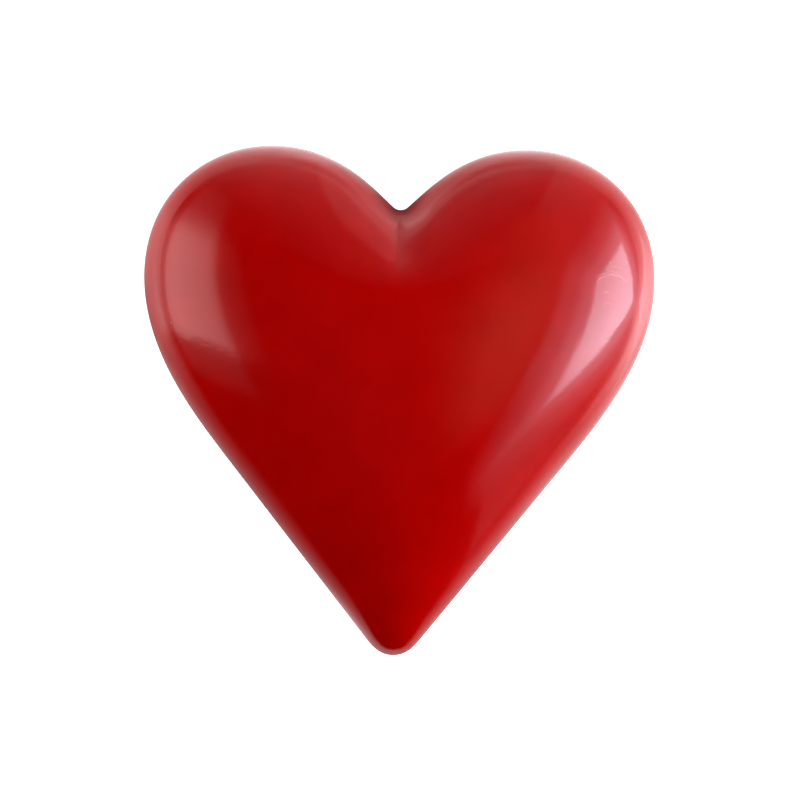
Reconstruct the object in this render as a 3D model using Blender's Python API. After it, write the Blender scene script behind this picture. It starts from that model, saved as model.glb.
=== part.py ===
"""A solid heart of white chocolate, coloured red: domed on top, flat underneath, cast in an open mould.

Run it with blender --background --python part.py, or from Blender's text editor. It makes one closed mesh,
in metres. X runs across the heart, Y from its tip (-Y) to its two lobes (+Y), and Z up. The origin is on the
ground, in the middle of the heart's width and length.
"""

import math

import bmesh
import bpy
import numpy as np

# The edge seen from above, as half of it is walked from the tip to the notch. Each stretch has its length,
# and its bend changes evenly along it. The straight flank is as long as it takes to close the shape.
WIDTH = 0.100
TIP_RADIUS = 0.0053
TIP_EASE = 0.0041
FLANK_ANGLE = math.radians(51.4)
LOBE_RISE = 0.0558
LOBE_RADIUS = 0.0234
LOBE_CROWN = 0.0420
CROWN_RADIUS = 0.0288
SHOULDER = 0.0109
NOTCH_EASE = 0.0005
NOTCH_RADIUS = 0.0021

# The dome, from the ground to its highest point, and the small round of its foot
HEIGHT = 0.0190
FOOT_RADIUS = 0.0005
FOOT_STEPS = 3
DRAFT = 0.003

# The valley between the lobes: a soft V that runs out of the notch towards the middle, fading as it goes
VALLEY_LENGTH = 0.0142
VALLEY_HALF_WIDTH = 0.0034
VALLEY_ROUND = 0.0008
VALLEY_SHARE = 0.17
VALLEY_FADE = 2.5

# The net of the surface: cells from its middle to its edge, and points that the edge is walked in
RINGS = 31
WALK_POINTS = 6000
TURN_WEIGHT = 0.008
MIDDLE_ABOVE_CENTRE = 0.006
SOURCES = 240
SOURCE_GAP = 2.5
SHARP_EDGE = math.radians(50)

# The look of coloured, glossy white chocolate
RED = (0.40, 0.006, 0.004, 1.0)
ROUGHNESS = 0.2


def clear_scene():
    for old in list(bpy.data.objects):
        bpy.data.objects.remove(old, do_unlink=True)


def walk_half_edge(flank):
    """Points of half the edge from the tip to the notch, and the running measure that spreads the net."""
    tip_arc = FLANK_ANGLE * TIP_RADIUS - TIP_EASE / 2
    lobe_turn = (
        LOBE_RISE / LOBE_RADIUS / 2
        + LOBE_CROWN * (1 / LOBE_RADIUS + 1 / CROWN_RADIUS) / 2
        + SHOULDER / CROWN_RADIUS / 2
    )
    notch_arc = (FLANK_ANGLE + lobe_turn - math.pi) * NOTCH_RADIUS - NOTCH_EASE / 2
    stretches = (
        (tip_arc, 1 / TIP_RADIUS),
        (TIP_EASE, 0.0),
        (flank, 0.0),
        (LOBE_RISE, 1 / LOBE_RADIUS),
        (LOBE_CROWN, 1 / CROWN_RADIUS),
        (SHOULDER, 0.0),
        (NOTCH_EASE, -1 / NOTCH_RADIUS),
        (notch_arc, -1 / NOTCH_RADIUS),
    )
    ends = np.cumsum([0.0] + [length for length, _ in stretches])
    bends = [1 / TIP_RADIUS] + [bend for _, bend in stretches]
    way = np.linspace(0.0, ends[-1], WALK_POINTS)
    step = way[1] - way[0]
    bend = np.interp((way[1:] + way[:-1]) / 2, ends, bends)
    heading = np.concatenate([[0.0], np.cumsum(bend * step)])
    middle_heading = (heading[1:] + heading[:-1]) / 2
    x = np.concatenate([[0.0], np.cumsum(np.cos(middle_heading) * step)])
    y = np.concatenate([[0.0], np.cumsum(np.sin(middle_heading) * step)])
    measure = np.concatenate([[0.0], np.cumsum(step * (1 + TURN_WEIGHT * np.abs(bend)))])
    return x, y, heading, measure


class Edge:
    """The closed edge. Points and outward directions are read at shares of the way round, from the tip."""

    def __init__(self):
        gap = walk_half_edge(0.0)[0][-1]
        x, y, heading, measure = walk_half_edge(-gap / math.cos(FLANK_ANGLE))
        scale = WIDTH / 2 / x.max()
        self.share = measure / measure[-1] / 2
        self.x = x * scale
        self.y = (y - (y.max() + y.min()) / 2) * scale
        self.out_x = np.sin(heading)
        self.out_y = -np.cos(heading)

    def at(self, share):
        """Points and outward directions at these shares, 0 at the tip, 0.5 at the notch and 1 at the tip."""
        half = np.where(share > 0.5, 1 - share, share)
        side = np.where(share > 0.5, -1.0, 1.0)
        x = side * np.interp(half, self.share, self.x)
        y = np.interp(half, self.share, self.y)
        out_x = side * np.interp(half, self.share, self.out_x)
        out_y = np.interp(half, self.share, self.out_y)
        return np.stack([x, y], -1), np.stack([out_x, out_y], -1)


def film_over(edge):
    """A function that gives how far a film over the edge stands up, anywhere inside, when it is blown up.

    Even pressure alone gives a bowl. Sources set a little way outside the edge are weighted so that their
    sum lifts the bowl to nothing all along the edge."""
    around = (np.arange(4 * SOURCES) + 0.5) / (4 * SOURCES)
    rim, _ = edge.at(around)
    near, out = edge.at(around[::4])
    spacing = np.linalg.norm(np.roll(near, -1, 0) - np.roll(near, 1, 0), axis=1) / 2
    sources = near + out * (spacing * SOURCE_GAP)[:, None]

    def pull(points):
        return np.log(np.linalg.norm(points[:, None] - sources[None], axis=2))

    weights = np.linalg.lstsq(pull(rim), (rim**2).sum(1) / 4, rcond=None)[0]
    return lambda points: pull(points) @ weights - (points**2).sum(1) / 4


def valley_depth(points, notch_y):
    """How deep the valley is at the points, as a share of the dome's height there."""
    along = np.clip((notch_y - points[:, 1]) / VALLEY_LENGTH, 0.0, 1.0)
    across = np.hypot(points[:, 0], VALLEY_ROUND) - VALLEY_ROUND
    return VALLEY_SHARE * (1 - along**VALLEY_FADE) ** 2 * np.exp(-across / VALLEY_HALF_WIDTH)


def dome_height(points, film, notch_y):
    """Heights over the points: the film's rise, made to leave the edge steeply, less the valley."""
    rise = np.maximum(film(points), 0.0)
    rise = rise / rise.max()
    dome = (np.sqrt(rise + DRAFT) - math.sqrt(DRAFT)) / (math.sqrt(1 + DRAFT) - math.sqrt(DRAFT))
    return FOOT_RADIUS + (HEIGHT - FOOT_RADIUS) * dome * (1 - valley_depth(points, notch_y))


def share_round_square(i, j, ring):
    """Share of the way round a square ring of grid points, from the middle of its -Y side by way of +X."""
    near_side = np.where(i >= 0, i, 8 * ring + i)
    steps = np.select(
        [j == -ring, i == ring, j == ring],
        [near_side, j + 2 * ring, 4 * ring - i],
        6 * ring - j,
    )
    return steps / np.maximum(8 * ring, 1)


def net_points(grid, edge):
    """Where the points of a flat square grid go: rings round a middle, closer together at the edge."""
    i, j = np.rint(grid * RINGS).astype(int).T
    ring = np.maximum(np.abs(i), np.abs(j))
    share = share_round_square(i, j, ring)
    reach = np.sin(math.pi / 2 * ring / RINGS)[:, None]
    middle = np.array([0.0, MIDDLE_ABOVE_CENTRE])
    heart = edge.at(share)[0] - middle
    turn = 2 * math.pi * share
    circle = np.stack([np.sin(turn), -np.cos(turn)], -1) * WIDTH / 2
    return middle + reach * (reach * heart + (1 - reach) * circle)


def make_heart():
    edge = Edge()
    film = film_over(edge)
    notch_y = edge.y[-1]
    bpy.ops.mesh.primitive_grid_add(x_subdivisions=2 * RINGS, y_subdivisions=2 * RINGS, size=2)
    heart = bpy.context.object
    heart.name = heart.data.name = "chocolate_heart"
    net = bmesh.new()
    net.from_mesh(heart.data)
    grid = np.array([vert.co[:2] for vert in net.verts])
    flat = net_points(grid, edge)
    heights = dome_height(flat, film, notch_y)
    rim = np.abs(grid).max(1) > 1 - 0.5 / RINGS
    heights[rim] = FOOT_RADIUS
    for vert, (x, y), z in zip(net.verts, flat, heights):
        vert.co = (x, y, z)
    round_the_foot(net, edge)
    bmesh.ops.recalc_face_normals(net, faces=net.faces)
    quads = [face for face in net.faces if len(face.verts) == 4]
    bmesh.ops.triangulate(net, faces=quads, quad_method="SHORT_EDGE")
    net.to_mesh(heart.data)
    net.free()
    heart.data.shade_smooth()
    heart.data.set_sharp_from_angle(angle=SHARP_EDGE)
    return heart


def round_the_foot(net, edge):
    """Carries the net's border down and in, round a quarter circle, and closes it with the flat underside."""
    border = [side for side in net.edges if side.is_boundary]
    shares = np.linspace(0.0, 1.0, 8 * RINGS, endpoint=False)
    points, out = edge.at(shares)
    for step in range(1, FOOT_STEPS + 1):
        angle = math.pi / 2 * step / FOOT_STEPS
        made = bmesh.ops.extrude_edge_only(net, edges=border)["geom"]
        border = [item for item in made if isinstance(item, bmesh.types.BMEdge) and item.is_boundary]
        for vert in {vert for side in border for vert in side.verts}:
            nearest = np.argmin(((points - np.array(vert.co[:2])) ** 2).sum(1))
            inwards = FOOT_RADIUS * (1 - math.cos(angle))
            x, y = points[nearest] - out[nearest] * inwards
            vert.co = (x, y, FOOT_RADIUS * (1 - math.sin(angle)))
    bmesh.ops.contextual_create(net, geom=border)


def chocolate():
    material = bpy.data.materials.new("red_white_chocolate")
    material.use_nodes = True
    shader = material.node_tree.nodes["Principled BSDF"]
    shader.inputs["Base Color"].default_value = RED
    shader.inputs["Roughness"].default_value = ROUGHNESS
    shader.inputs["Metallic"].default_value = 0.0
    return material


def main():
    clear_scene()
    heart = make_heart()
    heart.data.materials.append(chocolate())
    collection = bpy.data.collections.new("white_chocolate_heart")
    bpy.context.scene.collection.children.link(collection)
    for holder in list(heart.users_collection):
        holder.objects.unlink(heart)
    collection.objects.link(heart)


main()
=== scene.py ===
import math

import bpy
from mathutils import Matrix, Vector


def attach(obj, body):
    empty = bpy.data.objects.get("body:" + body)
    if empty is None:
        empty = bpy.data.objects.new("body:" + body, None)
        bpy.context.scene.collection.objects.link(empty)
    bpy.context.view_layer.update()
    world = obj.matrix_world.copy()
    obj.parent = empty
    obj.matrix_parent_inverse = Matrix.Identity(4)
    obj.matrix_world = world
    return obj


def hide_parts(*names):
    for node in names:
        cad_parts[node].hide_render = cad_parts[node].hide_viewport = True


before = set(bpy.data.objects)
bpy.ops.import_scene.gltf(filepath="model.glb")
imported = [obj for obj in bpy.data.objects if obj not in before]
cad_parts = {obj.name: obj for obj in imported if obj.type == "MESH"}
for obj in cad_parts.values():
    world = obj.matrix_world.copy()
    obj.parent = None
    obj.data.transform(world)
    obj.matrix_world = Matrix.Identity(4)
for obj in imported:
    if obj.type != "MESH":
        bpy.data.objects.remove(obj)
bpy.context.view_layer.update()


# The heart: one solid piece of white chocolate, coloured red right through, cast in an open mould.
# Its domed side took the polish of the mould, with the slight waves and fine streaks that it has.
SAME_POINT = 0.000002
UNDERSIDE = 0.00002
QUAD_ANGLE = math.radians(60)
FINENESS = 2
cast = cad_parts["chocolate_heart"]
bpy.ops.object.select_all(action="DESELECT")
heart = cast.copy()
heart.data = cast.data.copy()
heart.name = heart.data.name = "heart_casting"
bpy.context.scene.collection.objects.link(heart)
heart.parent = None
heart.select_set(True)
bpy.context.view_layer.objects.active = heart

# The solid's loose triangles are joined and paired, so that its dome can be made finer. Its flat side is
# left off, and closed again below.
bpy.ops.object.mode_set(mode="EDIT")
bpy.ops.mesh.select_all(action="SELECT")
bpy.ops.mesh.remove_doubles(threshold=SAME_POINT)
bpy.ops.mesh.select_all(action="DESELECT")
bpy.ops.object.mode_set(mode="OBJECT")
for face in heart.data.polygons:
    face.select = face.center.z < UNDERSIDE and face.normal.z < 0
bpy.ops.object.mode_set(mode="EDIT")
bpy.ops.mesh.delete(type="FACE")
bpy.ops.mesh.select_all(action="SELECT")
bpy.ops.mesh.tris_convert_to_quads(face_threshold=QUAD_ANGLE, shape_threshold=QUAD_ANGLE)
bpy.ops.mesh.select_all(action="DESELECT")
bpy.ops.object.mode_set(mode="OBJECT")

fine = heart.modifiers.new("fine surface", "SUBSURF")
fine.levels = fine.render_levels = FINENESS
bpy.ops.object.modifier_apply(modifier=fine.name)

# The mould was polished by hand, so its sides stand out of true by a few hundredths of a millimetre.
# Its foot is true.
FOOT_HEIGHT = 0.0010
DOME_HEIGHT = 0.0035
WAVE_LENGTH = 0.016
WAVE_HEIGHT = 0.00005


def share_above_foot(z):
    """0 up to the top of the foot, and 1 from where the dome is free of it."""
    return min(max((z - FOOT_HEIGHT) / (DOME_HEIGHT - FOOT_HEIGHT), 0.0), 1.0)


dome = heart.vertex_groups.new(name="dome")
for vert in heart.data.vertices:
    dome.add([vert.index], share_above_foot(vert.co.z), "REPLACE")
waves = bpy.data.textures.new("mould waves", "CLOUDS")
waves.noise_scale = WAVE_LENGTH
waves.noise_depth = 1
wavy = heart.modifiers.new("mould waves", "DISPLACE")
wavy.texture = waves
wavy.texture_coords = "LOCAL"
wavy.vertex_group = "dome"
wavy.mid_level = 0.5
wavy.strength = WAVE_HEIGHT
bpy.ops.object.modifier_apply(modifier=wavy.name)

# The two lobes of the mould meet in a crease that is sharper than the valley round it. Its left side curves
# away, and its right side is straighter and ends in a slight swelling.
CREASE_FROM = 0.0372
CREASE_LENGTH = 0.0150
CREASE_MIDDLE = -0.0002
CREASE_ROUND = 0.0004
CREASE_LEFT = 0.0020
CREASE_RIGHT = 0.0056
CREASE_RIGHT_BEND = 1.2
CREASE_DEPTH = 0.0008
SWELL_WIDTH = 0.0030
SWELL_HEIGHT = 0.00012
crease = heart.vertex_groups.new(name="crease")
swelling = heart.vertex_groups.new(name="swelling")
for vert in heart.data.vertices:
    along = min(max((CREASE_FROM - vert.co.y) / CREASE_LENGTH, 0.0), 1.0)
    across = math.hypot(vert.co.x - CREASE_MIDDLE, CREASE_ROUND) - CREASE_ROUND
    share = share_above_foot(vert.co.z) * (1 - along * along) ** 2
    if vert.co.x < CREASE_MIDDLE:
        depth = math.exp(-across / CREASE_LEFT)
        height = 0.0
    else:
        depth = max(1 - across / CREASE_RIGHT, 0.0) ** CREASE_RIGHT_BEND
        height = math.exp(-(((across - CREASE_RIGHT) / SWELL_WIDTH) ** 2))
    crease.add([vert.index], share * depth, "REPLACE")
    swelling.add([vert.index], share * height, "REPLACE")
for name, reach in (("crease", -CREASE_DEPTH), ("swelling", SWELL_HEIGHT)):
    moved = heart.modifiers.new(name, "DISPLACE")
    moved.direction = "Z"
    moved.vertex_group = name
    moved.mid_level = 0.0
    moved.strength = reach
    bpy.ops.object.modifier_apply(modifier=name)

# The flat side lay uppermost in the mould. It was scraped level while soft, and sank a little inside its
# rim as it set.
RIM_WIDTH = 0.0009
STEP_WIDTH = 0.0005
SINK = 0.00012
bpy.ops.object.mode_set(mode="EDIT")
bpy.ops.mesh.select_all(action="DESELECT")
bpy.ops.mesh.select_mode(type="EDGE")
bpy.ops.mesh.select_non_manifold(extend=False)
bpy.ops.mesh.edge_face_add()
bpy.ops.mesh.select_mode(type="FACE")
bpy.ops.mesh.inset(thickness=RIM_WIDTH, depth=0)
bpy.ops.mesh.inset(thickness=STEP_WIDTH, depth=-SINK)
bpy.ops.mesh.mark_sharp()
bpy.ops.mesh.select_all(action="SELECT")
bpy.ops.mesh.normals_make_consistent(inside=False)
bpy.ops.mesh.select_all(action="DESELECT")
bpy.ops.object.mode_set(mode="OBJECT")
bpy.ops.object.shade_smooth()


def worked_out(tree, operation, *values, kind="ShaderNodeMath", result="Value"):
    """What a Math node, or a node of another kind, makes of numbers, vectors and other nodes' outputs."""
    node = tree.nodes.new(kind)
    node.operation = operation
    for socket, value in zip(node.inputs, values):
        if isinstance(value, bpy.types.NodeSocket):
            tree.links.new(value, socket)
        else:
            socket.default_value = value
    return node.outputs[result]


def all_together(tree, operation, values):
    """What a row of Math nodes makes of many values, taking in one at a time."""
    result = values[0]
    for value in values[1:]:
        result = worked_out(tree, operation, result, value)
    return result


# Coloured chocolate is never quite even: its colour and its gloss shift a little from place to place. It
# has tiny pits, and streaks along X, which are longer the smaller their squeeze is.
CLOUD_SPREAD = (0.35, 0.65)
STREAK_SCALE = 1300
PIT_SCALE = 260
PIT_WIDTH = 0.06
mottle = bpy.data.node_groups.new("chocolate mottle", "ShaderNodeTree")
for name, kind, start in (
    ("Deep", "NodeSocketColor", (0.4, 0.0, 0.0, 1)),
    ("Light", "NodeSocketColor", (0.5, 0.0, 0.0, 1)),
    ("Cloud Scale", "NodeSocketFloat", 90.0),
    ("Streak Squeeze", "NodeSocketFloat", 0.25),
    ("Streak Height", "NodeSocketFloat", 0.3),
    ("Pit Depth", "NodeSocketFloat", 0.5),
    ("Dullness", "NodeSocketFloat", 0.15),
    ("Dullness Shift", "NodeSocketFloat", 0.03),
):
    mottle.interface.new_socket(name, in_out="INPUT", socket_type=kind).default_value = start
mottle.interface.new_socket("Color", in_out="OUTPUT", socket_type="NodeSocketColor")
mottle.interface.new_socket("Roughness", in_out="OUTPUT", socket_type="NodeSocketFloat")
mottle.interface.new_socket("Height", in_out="OUTPUT", socket_type="NodeSocketFloat")
nodes = mottle.nodes
links = mottle.links
given = nodes.new("NodeGroupInput").outputs
out = nodes.new("NodeGroupOutput").inputs
place = nodes.new("ShaderNodeTexCoord").outputs["Object"]

clouds = nodes.new("ShaderNodeTexNoise")
clouds.inputs["Detail"].default_value = 5
clouds.inputs["Roughness"].default_value = 0.6
links.new(place, clouds.inputs["Vector"])
links.new(given["Cloud Scale"], clouds.inputs["Scale"])
spread = nodes.new("ShaderNodeMapRange")
spread.inputs["From Min"].default_value = CLOUD_SPREAD[0]
spread.inputs["From Max"].default_value = CLOUD_SPREAD[1]
links.new(clouds.outputs["Fac"], spread.inputs["Value"])
tint = nodes.new("ShaderNodeMix")
tint.data_type = "RGBA"
links.new(spread.outputs["Result"], tint.inputs["Factor"])
links.new(given["Deep"], tint.inputs["A"])
links.new(given["Light"], tint.inputs["B"])
links.new(tint.outputs["Result"], out["Color"])
dullness_here = worked_out(
    mottle, "MULTIPLY_ADD", spread.outputs["Result"], given["Dullness Shift"], given["Dullness"]
)
links.new(dullness_here, out["Roughness"])

stretch = nodes.new("ShaderNodeCombineXYZ")
stretch.inputs["Y"].default_value = 1.0
stretch.inputs["Z"].default_value = 1.0
links.new(given["Streak Squeeze"], stretch.inputs["X"])
drawn = nodes.new("ShaderNodeMapping")
links.new(stretch.outputs["Vector"], drawn.inputs["Scale"])
links.new(place, drawn.inputs["Vector"])
streaks = nodes.new("ShaderNodeTexNoise")
streaks.inputs["Scale"].default_value = STREAK_SCALE
streaks.inputs["Detail"].default_value = 3
links.new(drawn.outputs["Vector"], streaks.inputs["Vector"])
streak_height = worked_out(mottle, "MULTIPLY", streaks.outputs["Fac"], given["Streak Height"])

pits = nodes.new("ShaderNodeTexVoronoi")
pits.inputs["Scale"].default_value = PIT_SCALE
links.new(place, pits.inputs["Vector"])
pit = nodes.new("ShaderNodeMapRange")
pit.inputs["From Max"].default_value = PIT_WIDTH
pit.inputs["To Min"].default_value = -1.0
pit.inputs["To Max"].default_value = 0.0
links.new(pits.outputs["Distance"], pit.inputs["Value"])
height_here = worked_out(mottle, "MULTIPLY_ADD", pit.outputs["Result"], given["Pit Depth"], streak_height)
links.new(height_here, out["Height"])


def chocolate(name, bump_distance, looks):
    """A material with the chocolate's mottle. Its colour and its height are joined up afterwards."""
    material = bpy.data.materials.new(name)
    material.use_nodes = True
    nodes = material.node_tree.nodes
    links = material.node_tree.links
    shader = nodes["Principled BSDF"].inputs
    shader["IOR"].default_value = 1.5
    surface = nodes.new("ShaderNodeGroup")
    surface.node_tree = mottle
    for socket, value in looks.items():
        surface.inputs[socket].default_value = value
    bump = nodes.new("ShaderNodeBump")
    bump.inputs["Distance"].default_value = bump_distance
    links.new(surface.outputs["Roughness"], shader["Roughness"])
    links.new(bump.outputs["Normal"], shader["Normal"])
    return material, shader, surface.outputs, bump.inputs["Height"]


polished, shader, surface, bump_height = chocolate(
    "red white chocolate, mould polish",
    bump_distance=0.00001,
    looks={
        "Deep": (0.37, 0.0003, 0.0002, 1.0),
        "Light": (0.41, 0.0004, 0.0003, 1.0),
        "Cloud Scale": 110,
        "Streak Squeeze": 0.4,
        "Streak Height": 1.0,
        "Pit Depth": 0.5,
        "Dullness": 0.08,
        "Dullness Shift": 0.03,
    },
)
shader["Subsurface Weight"].default_value = 0.5
shader["Subsurface Radius"].default_value = (1.0, 0.25, 0.2)
shader["Subsurface Scale"].default_value = 0.002
shader["Specular Tint"].default_value = (1.5, 1.0, 1.0, 1)

# It is marked where it was handled: thin pale ripples in arcs on the right lobe, two specks by them, and
# a pinprick at the left. Each is part of a circle: its middle, its radius, the degrees that it turns from
# and to, and its strength. A speck is such a circle with no radius and no ends.
MARK_WIDTH = 0.0003
MARK_ENDS = math.radians(9)
MARK_HEIGHT = 0.9
MARK_WOBBLE = 0.0005
MARK_WOBBLE_SCALE = 700
MARK_PALE = (0.5, 0.06, 0.06, 1.0)
RIPPLES_MIDDLE = (0.04105, 0.02136)
ALL_ROUND = 400


def fading(tree, value, full_to, gone_from, strength):
    """This strength up to one value, nothing from another one on, and a soft fall between them."""
    fall = tree.nodes.new("ShaderNodeMapRange")
    fall.interpolation_type = "SMOOTHSTEP"
    fall.inputs["From Min"].default_value = full_to
    fall.inputs["From Max"].default_value = gone_from
    fall.inputs["To Min"].default_value = strength
    fall.inputs["To Max"].default_value = 0.0
    tree.links.new(value, fall.inputs["Value"])
    return fall.outputs["Result"]


tree = polished.node_tree
nodes = tree.nodes
links = tree.links
place = nodes.new("ShaderNodeTexCoord").outputs["Object"]
level = worked_out(tree, "MULTIPLY", place, (1, 1, 0), kind="ShaderNodeVectorMath", result="Vector")
uneven = nodes.new("ShaderNodeTexNoise")
uneven.inputs["Scale"].default_value = MARK_WOBBLE_SCALE
links.new(place, uneven.inputs["Vector"])
wobble = (MARK_WOBBLE, MARK_WOBBLE, 0)
wobbly = worked_out(
    tree, "MULTIPLY_ADD", uneven.outputs["Color"], wobble, level,
    kind="ShaderNodeVectorMath", result="Vector",
)
marks = []
for middle, radius, turn_from, turn_to, strength in (
    (RIPPLES_MIDDLE, 0.00392, 46, 135, 1.0),
    (RIPPLES_MIDDLE, 0.0044, 100, 121, 0.8),
    (RIPPLES_MIDDLE, 0.0045, 66, 93, 0.4),
    (RIPPLES_MIDDLE, 0.0055, 70, 93, 0.4),
    ((0.03995, 0.0213), 0.0006, 30, 140, 0.6),
    ((0.0403, 0.0191), 0.0007, 20, 280, 0.2),
    ((0.04072, 0.02772), 0.0, -ALL_ROUND, ALL_ROUND, 0.8),
    ((0.04415, 0.02775), 0.0, -ALL_ROUND, ALL_ROUND, 0.6),
    ((-0.04406, 0.0145), 0.0, -ALL_ROUND, ALL_ROUND, 0.7),
):
    centre = (middle[0] + MARK_WOBBLE / 2, middle[1] + MARK_WOBBLE / 2, 0)
    apart = worked_out(tree, "SUBTRACT", wobbly, centre, kind="ShaderNodeVectorMath", result="Vector")
    reach = worked_out(tree, "LENGTH", apart, kind="ShaderNodeVectorMath")
    off_line = worked_out(tree, "ABSOLUTE", worked_out(tree, "SUBTRACT", reach, radius))
    line = fading(tree, off_line, 0.0, MARK_WIDTH, strength)
    parts = nodes.new("ShaderNodeSeparateXYZ")
    links.new(apart, parts.inputs["Vector"])
    angle = worked_out(tree, "ARCTAN2", parts.outputs["Y"], parts.outputs["X"])
    middle_angle = math.radians(turn_from + turn_to) / 2
    half_turn = math.radians(turn_to - turn_from) / 2
    off_middle = worked_out(tree, "ABSOLUTE", worked_out(tree, "SUBTRACT", angle, middle_angle))
    ends = fading(tree, off_middle, half_turn - MARK_ENDS, half_turn + MARK_ENDS, 1.0)
    marks.append(worked_out(tree, "MULTIPLY", line, ends))
marked = all_together(tree, "MAXIMUM", marks)
rubbed = nodes.new("ShaderNodeMix")
rubbed.data_type = "RGBA"
rubbed.inputs["B"].default_value = MARK_PALE
links.new(marked, rubbed.inputs["Factor"])
links.new(surface["Color"], rubbed.inputs["A"])
links.new(rubbed.outputs["Result"], shader["Base Color"])
raised = worked_out(tree, "MULTIPLY_ADD", marked, MARK_HEIGHT, surface["Height"])
links.new(raised, bump_height)

# The scraped side is duller and rougher, with long scrape marks and more pits.
scraped, shader, surface, bump_height = chocolate(
    "red white chocolate, scraped",
    bump_distance=0.00006,
    looks={
        "Deep": (0.29, 0.002, 0.002, 1.0),
        "Light": (0.34, 0.004, 0.003, 1.0),
        "Cloud Scale": 60,
        "Streak Squeeze": 0.02,
        "Streak Height": 1.0,
        "Pit Depth": 1.5,
        "Dullness": 0.38,
        "Dullness Shift": 0.12,
    },
)
links = scraped.node_tree.links
links.new(surface["Color"], shader["Base Color"])
links.new(surface["Height"], bump_height)

FACING_DOWN = -0.9
heart.data.materials.clear()
heart.data.materials.append(polished)
heart.data.materials.append(scraped)
for face in heart.data.polygons:
    face.material_index = 1 if face.normal.z < FACING_DOWN and face.center.z < SINK * 2 else 0

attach(heart, "root")
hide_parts("chocolate_heart")


# The floor: a plain matte white sheet. The heart's polish mirrors it as the glossy table that the photo's
# reflections show; that table's light and shade are a painted glow: dark at the heart's point and bright
# beyond its lobes.
FLOOR_SIZE = 4.0
LOBE_REACH = 0.05
FLANK_TURN = math.radians(51.4)
FLANK_REACH = 0.0328
LOBE_SPAN = (-0.012, 0.1)
FLANK_SPAN = (0.0, 0.07)
FULL_TURN = (-math.pi, math.pi)
bpy.ops.object.select_all(action="DESELECT")
bpy.ops.mesh.primitive_plane_add(size=FLOOR_SIZE, location=(0, 0, 0))
floor = bpy.context.object
floor.name = "floor"
table = bpy.data.materials.new("white sheet with painted table glow")
table.use_nodes = True
tree = table.node_tree
nodes = tree.nodes
links = tree.links
sheet = nodes["Principled BSDF"]
sheet.inputs["Base Color"].default_value = (0.9, 0.9, 0.9, 1)
sheet.inputs["Roughness"].default_value = 0.5
# Painted light: this glossy layer glows with the painted light and shade of a lit table, seen only in
# reflections.
glossy_painted_glow = nodes.new("ShaderNodeBsdfPrincipled")
glossy_painted_glow.inputs["Base Color"].default_value = (0, 0, 0, 1)
glossy_painted_glow.inputs["IOR"].default_value = 2.0
glossy_painted_glow.inputs["Roughness"].default_value = 0.08
glossy_painted_glow.inputs["Emission Strength"].default_value = 3.0


def strength_ramp(tree, value, stops, interpolation="LINEAR"):
    """Strengths along a value from 0 to 1, by stops of (place, strength)."""
    ramp = tree.nodes.new("ShaderNodeValToRGB")
    ramp.color_ramp.interpolation = interpolation
    while len(ramp.color_ramp.elements) < len(stops):
        ramp.color_ramp.elements.new(0.5)
    for element, (where, strength) in zip(ramp.color_ramp.elements, stops):
        element.position = where
        element.color = (strength, strength, strength, 1)
    tree.links.new(value, ramp.inputs["Fac"])
    return ramp.outputs["Color"]


def strength_along(value, span, stops):
    """Strengths along a value from the low to the high end of its span, by stops of (value, strength)."""
    low, high = span
    share = nodes.new("ShaderNodeMapRange")
    share.inputs["From Min"].default_value = low
    share.inputs["From Max"].default_value = high
    links.new(value, share.inputs["Value"])
    shares = [((where - low) / (high - low), strength) for where, strength in stops]
    return strength_ramp(tree, share.outputs["Result"], shares)


# The table's glow is painted light and shade. It is laid out by the turn round the heart, and by the
# distance outside a circle that touches its lobes, or outside the line of a flank.
place = nodes.new("ShaderNodeTexCoord").outputs["Object"]
split = nodes.new("ShaderNodeSeparateXYZ")
links.new(place, split.inputs["Vector"])
turn = worked_out(tree, "ARCTAN2", split.outputs["Y"], split.outputs["X"])
from_middle = worked_out(tree, "LENGTH", place, kind="ShaderNodeVectorMath")
off_lobes = worked_out(tree, "SUBTRACT", from_middle, LOBE_REACH)
side_share = worked_out(
    tree, "MULTIPLY", worked_out(tree, "ABSOLUTE", split.outputs["X"]), math.sin(FLANK_TURN)
)
front_share = worked_out(tree, "MULTIPLY", split.outputs["Y"], math.cos(FLANK_TURN))
off_middle = worked_out(tree, "SUBTRACT", side_share, front_share)
off_flanks = worked_out(tree, "SUBTRACT", off_middle, FLANK_REACH)
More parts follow.
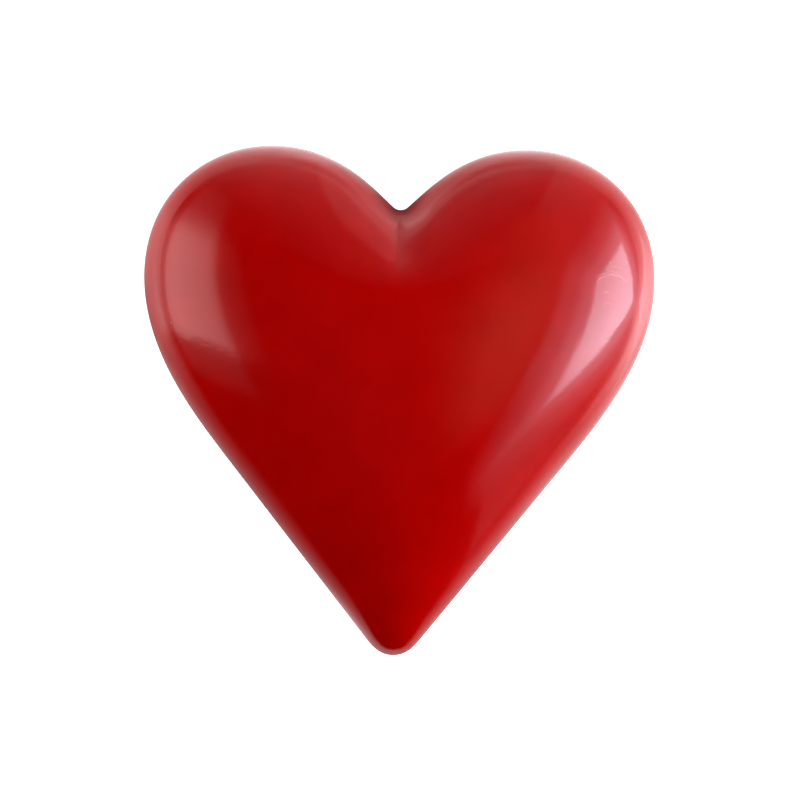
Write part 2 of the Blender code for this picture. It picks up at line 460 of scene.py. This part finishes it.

# The glow beyond the lobes, the one at the right, the one at the left and the one along the flanks, each
# by stops of (degrees from +X, strength) and of (distance, strength)
# Each glow below is a painted pool of light on the table, and its low stops are painted shade.
painted_glows = []
for distance, span, turns, reaches in (
    (
        off_lobes,
        LOBE_SPAN,
        [
            (30, 0), (40, 0.22), (50, 0.6), (57, 0.8), (65, 0.9), (73, 0.6), (84, 0.32), (92, 0.32),
            (100, 0.5), (106, 0.82), (117, 0.8), (126, 0.56), (138, 0.23), (150, 0.06), (158, 0),
        ],
        [
            (-0.012, 0.06), (-0.009, 0.2), (-0.0065, 0.5), (-0.0025, 0.78), (0.0023, 0.82), (0.0065, 1),
            (0.01, 0.95), (0.016, 0.76), (0.025, 0.58), (0.04, 0.44), (0.065, 0.33), (0.1, 0.22),
        ],
    ),
    (
        off_lobes,
        LOBE_SPAN,
        [
            (-125, 0), (-110, 0.12), (-99, 0.27), (-88, 0.24), (-76, 0.05), (-68, 0), (-40, 0),
            (-30, 0.05), (-20, 0.15), (-8, 0.4), (0, 0.8), (8, 1.15), (18, 1.02), (26, 0.8),
            (33, 0.5), (40, 0.26), (50, 0.08), (58, 0),
        ],
        [
            (-0.002, 0.4), (0.0023, 0.48), (0.0065, 0.72), (0.01, 0.85), (0.016, 1), (0.03, 0.8),
            (0.05, 0.55), (0.1, 0.4),
        ],
    ),
    (
        off_lobes,
        LOBE_SPAN,
        [
            (-180, 0.15), (-172, 0.075), (-165, 0.04), (-155, 0), (124, 0), (134, 0.08), (142, 0.22),
            (150, 0.3), (165, 0.33), (172, 0.29), (180, 0.15),
        ],
        [
            (-0.002, 0.42), (0.0023, 0.46), (0.004, 0.48), (0.0065, 0.63), (0.01, 0.77),
            (0.016, 0.97), (0.03, 1.05), (0.05, 1.1), (0.1, 1.05),
        ],
    ),
    (
        off_flanks,
        FLANK_SPAN,
        [
            (-180, 0.12), (-160, 0.14), (-140, 0.125), (-125, 0.14), (-112, 0.17), (-101, 0.31),
            (-92, 0.38), (-84, 0.26), (-75, 0.2), (-60, 0.21), (-40, 0.26), (-28, 0.3),
            (-18, 0.23), (-8, 0.18), (2, 0.1), (8, 0), (165, 0), (180, 0.12),
        ],
        [(0.004, 1), (0.0075, 0.8), (0.011, 0.6), (0.016, 0.43), (0.025, 0.22), (0.04, 0.07), (0.07, 0)],
    ),
):
    stops = [(math.radians(degrees), strength) for degrees, strength in turns]
    by_turn = strength_along(turn, FULL_TURN, stops)
    by_distance = strength_along(distance, span, reaches)
    painted_glows.append(worked_out(tree, "MULTIPLY", by_turn, by_distance))
links.new(all_together(tree, "ADD", painted_glows), glossy_painted_glow.inputs["Emission Color"])

# The camera sees the sheet as pure white, the heart mirrors the glossy table with its painted glow, and
# everything else meets the matte sheet.
seen = nodes.new("ShaderNodeLightPath")
mirrored = nodes.new("ShaderNodeMixShader")
links.new(seen.outputs["Is Glossy Ray"], mirrored.inputs["Fac"])
links.new(sheet.outputs["BSDF"], mirrored.inputs[1])
links.new(glossy_painted_glow.outputs["BSDF"], mirrored.inputs[2])
plain = nodes.new("ShaderNodeEmission")
plain.inputs["Color"].default_value = (1, 1, 1, 1)
clean = nodes.new("ShaderNodeAddShader")
links.new(sheet.outputs["BSDF"], clean.inputs[0])
links.new(plain.outputs["Emission"], clean.inputs[1])
either = nodes.new("ShaderNodeMixShader")
links.new(seen.outputs["Is Camera Ray"], either.inputs["Fac"])
links.new(mirrored.outputs["Shader"], either.inputs[1])
links.new(clean.outputs["Shader"], either.inputs[2])
links.new(either.outputs["Shader"], nodes["Material Output"].inputs["Surface"])
floor.data.materials.append(table)


# The studio's lights: a softbox at the left, a brighter one at the right that stands on its corner, with
# a glow round it, and dim panels above and behind. Each is a flat light, dimmed from place to place, and
# the fills are not mirrored in the heart's polish.
LEAN_FROM = 0.3
FILL_WIDTH = 1.0
FILL_HEIGHT = 0.5
CEILING_SIZE = 1.2
EVEN = [(0, 1), (1, 1)]


def studio_light(name, place, azimuth, width, tall, radiance, tilt=0.0, roll=0.0):
    """A flat light at this place, facing in from this azimuth, tilted down and rolled by degrees."""
    data = bpy.data.lights.new(name, "AREA")
    data.shape = "RECTANGLE"
    data.size = width
    data.size_y = tall
    data.energy = math.pi * radiance * width * tall
    light = bpy.data.objects.new(name, data)
    bpy.context.scene.collection.objects.link(light)
    turn = math.radians(azimuth)
    light.location = place
    facing = Vector((-math.cos(turn), -math.sin(turn), -math.tan(math.radians(tilt))))
    light.rotation_euler = facing.to_track_quat("-Z", "Y").to_euler()
    light.rotation_euler.rotate_axis("Z", math.radians(roll))
    light.visible_camera = False
    return light


def light_places(light):
    """Gives a light nodes, and the places across it and up it, each from 0 to 1."""
    light.data.use_nodes = True
    tree = light.data.node_tree
    place = tree.nodes.new("ShaderNodeNewGeometry")
    split = tree.nodes.new("ShaderNodeSeparateXYZ")
    tree.links.new(place.outputs["Parametric"], split.inputs["Vector"])
    return tree, (split.outputs["X"], split.outputs["Y"])


def dim_light(light, across, up, lean=0.0):
    """Dims a light from place to place: stops of (place, strength) across it and up it. With a lean, the
    stops across it move towards its low end as they go up."""
    tree, (x, y) = light_places(light)
    if lean:
        rest = worked_out(tree, "SUBTRACT", 1.0, x)
        rise = worked_out(tree, "MULTIPLY_ADD", y, lean, -LEAN_FROM * lean)
        x = worked_out(tree, "MULTIPLY_ADD", rest, rise, x)
    by_width = strength_ramp(tree, x, across, "EASE")
    by_height = strength_ramp(tree, y, up, "EASE")
    dimmed = worked_out(tree, "MULTIPLY", by_width, by_height)
    tree.links.new(dimmed, tree.nodes["Emission"].inputs["Strength"])


def shape_light(light, corners, stops, across, up):
    """Lights a flat light inside these corners, in metres from its middle and counter-clockwise, and dims it
    by the distance from each side: stops of (place, strength) from the corner's reach outside that side to
    its reach inside, with the side at 0.5. It is dimmed across and up as well."""
    tree, places = light_places(light)
    size = (light.data.size, light.data.size_y)
    distances = []
    for (*start, reach), (*end, _) in zip(corners, corners[1:] + corners[:1]):
        run = Vector(end) - Vector(start)
        inwards = Vector((-run.y, run.x)).normalized()
        shares = []
        for axis in (0, 1):
            slope = inwards[axis] * size[axis] / (2 * reach)
            begin = 0.5 / 2 - inwards[axis] * (size[axis] / 2 + start[axis]) / (2 * reach)
            shares.append(worked_out(tree, "MULTIPLY_ADD", places[axis], slope, begin))
        distances.append(worked_out(tree, "ADD", *shares))
    strength = strength_ramp(tree, all_together(tree, "MINIMUM", distances), stops)
    for place, dimming in zip(places, (across, up)):
        strength = worked_out(tree, "MULTIPLY", strength, strength_ramp(tree, place, dimming, "EASE"))
    tree.links.new(strength, tree.nodes["Emission"].inputs["Strength"])


left = studio_light(
    "left softbox", (-0.79, 0.37, 0.70), azimuth=180, width=1.66, tall=1.36, radiance=2.95, roll=-7.5
)
left.data.color = (1.13, 1.0, 0.98)
dim_light(
    left,
    across=[
        (0, 0), (0.12, 0.04), (0.241, 0.08), (0.325, 0.14), (0.39, 0.27), (0.428, 0.4),
        (0.456, 0.58), (0.49, 0.8), (0.542, 0.95), (0.602, 1), (0.852, 1), (0.866, 0.8),
        (0.875, 0.5), (0.888, 0.22), (0.91, 0.11), (0.95, 0.065), (1, 0),
    ],
    up=[
        (0, 0.34), (0.083, 0.42), (0.114, 0.92), (0.207, 1), (0.346, 0.9), (0.47, 0.77),
        (0.55, 0.66), (0.6, 0.48), (0.635, 0.2), (0.67, 0.1), (0.8, 0.045), (0.985, 0),
    ],
    lean=0.42,
)

right = studio_light(
    "right softbox", (0.78, -0.025, 0.575), azimuth=0, width=1.75, tall=1.15, radiance=11.4
)
right.data.color = (0.63, 0.9, 1.07)
shape_light(
    right,
    corners=[
        (0.375, -0.31, 0.5), (0.217, 0.10, 0.62), (-0.475, 0.015, 0.34), (-0.045, -0.44, 0.34),
        (0.0, -0.495, 0.33),
    ],
    stops=[(0, 0.01), (0.18, 0.09), (0.3, 0.13), (0.4, 0.28), (0.488, 0.33), (0.512, 1)],
    across=[
        (0, 0), (0.07, 0.24), (0.14, 0.32), (0.2, 0.39), (0.257, 0.52), (0.306, 0.68),
        (0.352, 0.87), (0.395, 0.98), (0.45, 1), (0.5, 0.95), (0.553, 0.88), (0.63, 0.81),
        (0.72, 0.8), (0.79, 0.7), (0.92, 0.45), (1, 0.3),
    ],
    up=[(0, 1), (0.2, 1), (0.3, 0.94), (0.42, 0.79), (0.52, 0.68), (0.65, 0.62), (1, 0.6)],
)

canopy = studio_light(
    "right canopy", (0.43, 0.2, 1.25), azimuth=10, width=2.4, tall=0.9, radiance=0.38, tilt=65
)
canopy.data.color = (1.15, 1.0, 0.65)
dim_light(
    canopy,
    across=[
        (0, 0), (0.117, 0.02), (0.317, 0.8), (0.45, 1.05), (0.583, 0.82), (0.667, 0.54),
        (0.79, 0.4), (1, 0.18),
    ],
    up=[(0, 0.35), (0.15, 0.6), (0.3, 1), (0.5, 0.82), (0.62, 0.42), (0.76, 0.12), (0.88, 0)],
)

panel = studio_light(
    "back right panel", (0.87, 0.233, 0.85), azimuth=15, width=3.0, tall=1.7, radiance=0.35
)
panel.visible_diffuse = False
dim_light(panel, across=EVEN, up=[(0, 0.85), (0.15, 0.9), (0.3, 0.9), (0.5, 0.75), (1, 0)])

back = studio_light("back panel", (0.038, 1.1, 0.95), azimuth=88, width=2.4, tall=1.9, radiance=1.3)
back.data.color = (0.75, 1.0, 1.03)
back.visible_diffuse = False
dim_light(
    back,
    across=[(0, 0), (0.3, 0.5), (0.5, 0.95), (0.62, 0.85), (0.74, 0.5), (0.86, 0.28), (1, 0.12)],
    up=[
        (0, 0.87), (0.105, 0.46), (0.305, 0.21), (0.48, 0.12), (0.58, 0.08), (0.7, 0.055),
        (0.9, 0.045), (1, 0),
    ],
)

for name, place, azimuth, tilt, radiance in (
    ("right fill", (0.78, 0.0, 0.27), 0, 19, 4.7),
    ("left fill", (-0.72, 0.262, 0.25), 160, 18, 1.95),
    ("back fill", (-0.13, 0.74, 0.36), 100, 25, 0.35),
):
    fill = studio_light(name, place, azimuth, FILL_WIDTH, FILL_HEIGHT, radiance, tilt=tilt)
    fill.visible_glossy = False

# The light on the ceiling faces straight down, as a flat light does before it is turned.
ceiling = studio_light(
    "ceiling fill", (0, 0, 1.2), azimuth=0, width=CEILING_SIZE, tall=CEILING_SIZE, radiance=0.64
)
ceiling.rotation_euler = (0, 0, 0)
ceiling.visible_glossy = False


# The room round the studio is dark, and only its lights light the heart. Past the edge of the floor the
# camera sees a pale wall.
DARK = (0.0, 0.0, 0.0, 1)
WALL = (0.85, 0.85, 0.85, 1)
world = bpy.data.worlds.new("studio")
bpy.context.scene.world = world
world.use_nodes = True
nodes = world.node_tree.nodes
links = world.node_tree.links
nodes["Background"].inputs["Color"].default_value = DARK
wall = nodes.new("ShaderNodeBackground")
wall.inputs["Color"].default_value = WALL
seen = nodes.new("ShaderNodeLightPath")
either = nodes.new("ShaderNodeMixShader")
links.new(seen.outputs["Is Camera Ray"], either.inputs["Fac"])
links.new(nodes["Background"].outputs["Background"], either.inputs[1])
links.new(wall.outputs["Background"], either.inputs[2])
links.new(either.outputs["Shader"], nodes["World Output"].inputs["Surface"])


# The camera looks straight down from above, as the photo's does, through a long lens. It is turned by the
# slight lean that the heart has in the photo.
LENS = 200
SENSOR = 36
VIEW_WIDTH = 0.1566
VIEW_MIDDLE = (0.00054, 0.00029)
HEART_LEAN = math.radians(1.01)
camera_data = bpy.data.cameras.new("camera")
camera_data.sensor_width = SENSOR
camera_data.lens = LENS
camera = bpy.data.objects.new("camera", camera_data)
bpy.context.scene.collection.objects.link(camera)
camera.location = (*VIEW_MIDDLE, VIEW_WIDTH * LENS / SENSOR)
camera.rotation_euler = (0, 0, HEART_LEAN)
bpy.context.scene.camera = camera
bpy.context.scene.view_settings.view_transform = "Standard"
